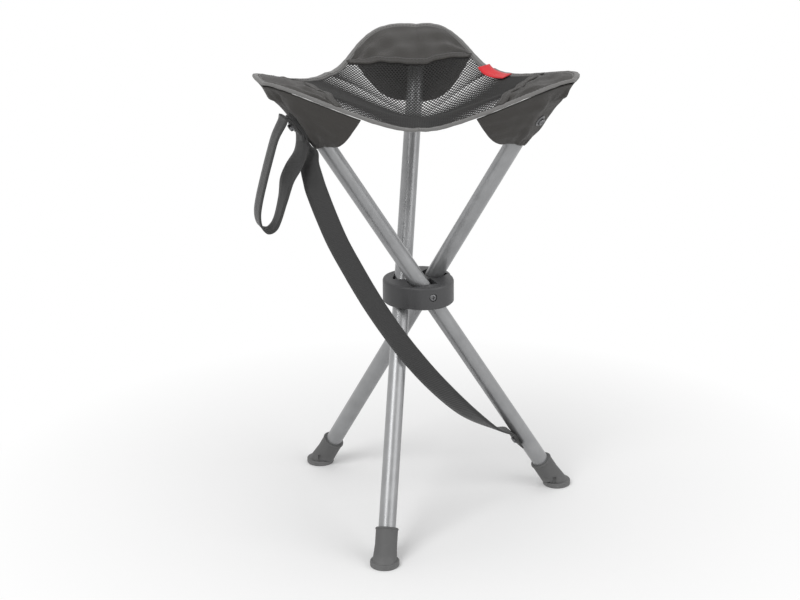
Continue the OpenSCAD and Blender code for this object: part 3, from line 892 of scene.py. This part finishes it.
class STOOL_OT_stage(bpy.types.Operator):
    """Sets the pale floor, the soft studio lights and the camera."""
    bl_idname = "stool.stage"
    bl_label = "Stage"

    def execute(self, context):
        scene = context.scene
        scene.view_settings.view_transform = "Standard"
        bm = bmesh.new()
        bmesh.ops.create_circle(bm, cap_ends=True, segments=64, radius=14.0)
        mesh = bpy.data.meshes.new("floor")
        bm.to_mesh(mesh)
        bm.free()
        floor = bpy.data.objects.new("floor", mesh)
        scene.collection.objects.link(floor)
        f = Finish("floor_paper")
        at, (x, y, _) = f.place()
        paper = f.node("ShaderNodeBsdfDiffuse", 0, Color=(0.95, 0.95, 0.95, 1))
        white = f.node("ShaderNodeEmission", 0, Color=(1, 1, 1, 1), Strength=1.0)
        far = (((x * x + y * y).power(0.5) - 0.12) * 3.0).clamp() * sees_background(f.tree)
        blank = f.node("ShaderNodeMixShader", 0, Fac=far)
        shader = blank.socket.node
        f.tree.links.new(paper.socket, shader.inputs[1])
        f.tree.links.new(white.socket, shader.inputs[2])
        f.tree.links.new(blank.socket, f.out.inputs[0])
        floor.data.materials.append(f.material)
        world = scene.world or bpy.data.worlds.new("studio")
        scene.world = world
        world.use_nodes = True
        nodes, links = world.node_tree.nodes, world.node_tree.links
        nodes.clear()
        shown, light = nodes.new("ShaderNodeBackground"), nodes.new("ShaderNodeBackground")
        shown.inputs[0].default_value = (1, 1, 1, 1)
        light.inputs[0].default_value = (1, 1, 1, 1)
        light.inputs[1].default_value = 0.5
        choose = nodes.new("ShaderNodeMixShader")
        links.new(sees_background(world.node_tree).socket, choose.inputs[0])
        links.new(light.outputs[0], choose.inputs[1])
        links.new(shown.outputs[0], choose.inputs[2])
        links.new(choose.outputs[0], nodes.new("ShaderNodeOutputWorld").inputs[0])
        self.lamp("key", (-1.0, -1.3, 1.7), 1.2, 20)
        self.lamp("fill", (1.4, -0.9, 1.0), 1.5, 9)
        self.lamp("top", (0.2, 0.6, 1.9), 1.6, 4)
        self.camera(scene)
        return {"FINISHED"}

    def lamp(self, name, place, size, watts):
        data = bpy.data.lights.new(name, "AREA")
        data.shape = "DISK"
        data.size = size
        data.energy = watts
        lamp = bpy.data.objects.new(name, data)
        lamp.location = place
        aim = Vector((0, 0, 0.22)) - Vector(place)
        lamp.rotation_euler = aim.to_track_quat("-Z", "Y").to_euler()
        bpy.context.scene.collection.objects.link(lamp)

    def camera(self, scene):
        right = Vector((0.99994685, -0.00344614, -0.00971724)).normalized()
        up = Vector((0.0103, 0.3342, 0.9424))
        up = (up - right * up.dot(right)).normalized()
        data = bpy.data.cameras.new("view")
        data.lens = 93.6
        data.sensor_width = 36.0
        camera = bpy.data.objects.new("view", data)
        turn = Matrix((right, up, right.cross(up))).transposed().to_4x4()
        camera.matrix_world = Matrix.Translation(MIDDLE + Vector((-0.01817, -1.85051, 0.64341))) @ turn
        scene.collection.objects.link(camera)
        scene.camera = camera


OPERATORS = (
    STOOL_OT_finishes, STOOL_OT_binding, STOOL_OT_net, STOOL_OT_panels, STOOL_OT_pockets,
    STOOL_OT_straps, STOOL_OT_tag, STOOL_OT_stage)


class STOOL_PT_panel(bpy.types.Panel):
    """Lists the stool's pieces and its settings."""
    bl_idname = "STOOL_PT_panel"
    bl_label = "Folding stool"
    bl_space_type = "VIEW_3D"
    bl_region_type = "UI"
    bl_category = "Stool"

    def draw(self, context):
        for group in (context.scene.stool_sizes, context.scene.stool_colours):
            for key in group.__annotations__:
                self.layout.prop(group, key)
        for operator in OPERATORS:
            self.layout.operator(operator.bl_idname)


CLASSES = (StoolColours, StoolSizes, *OPERATORS, STOOL_PT_panel)


def register():
    for cls in CLASSES:
        bpy.utils.register_class(cls)
    bpy.types.Scene.stool_colours = bpy.props.PointerProperty(type=StoolColours)
    bpy.types.Scene.stool_sizes = bpy.props.PointerProperty(type=StoolSizes)


def unregister():
    del bpy.types.Scene.stool_colours
    del bpy.types.Scene.stool_sizes
    for cls in reversed(CLASSES):
        bpy.utils.unregister_class(cls)


def main():
    register()
    for operator in OPERATORS:
        group, name = operator.bl_idname.split(".")
        getattr(getattr(bpy.ops, group), name)()


if __name__ == "__main__":
    main()
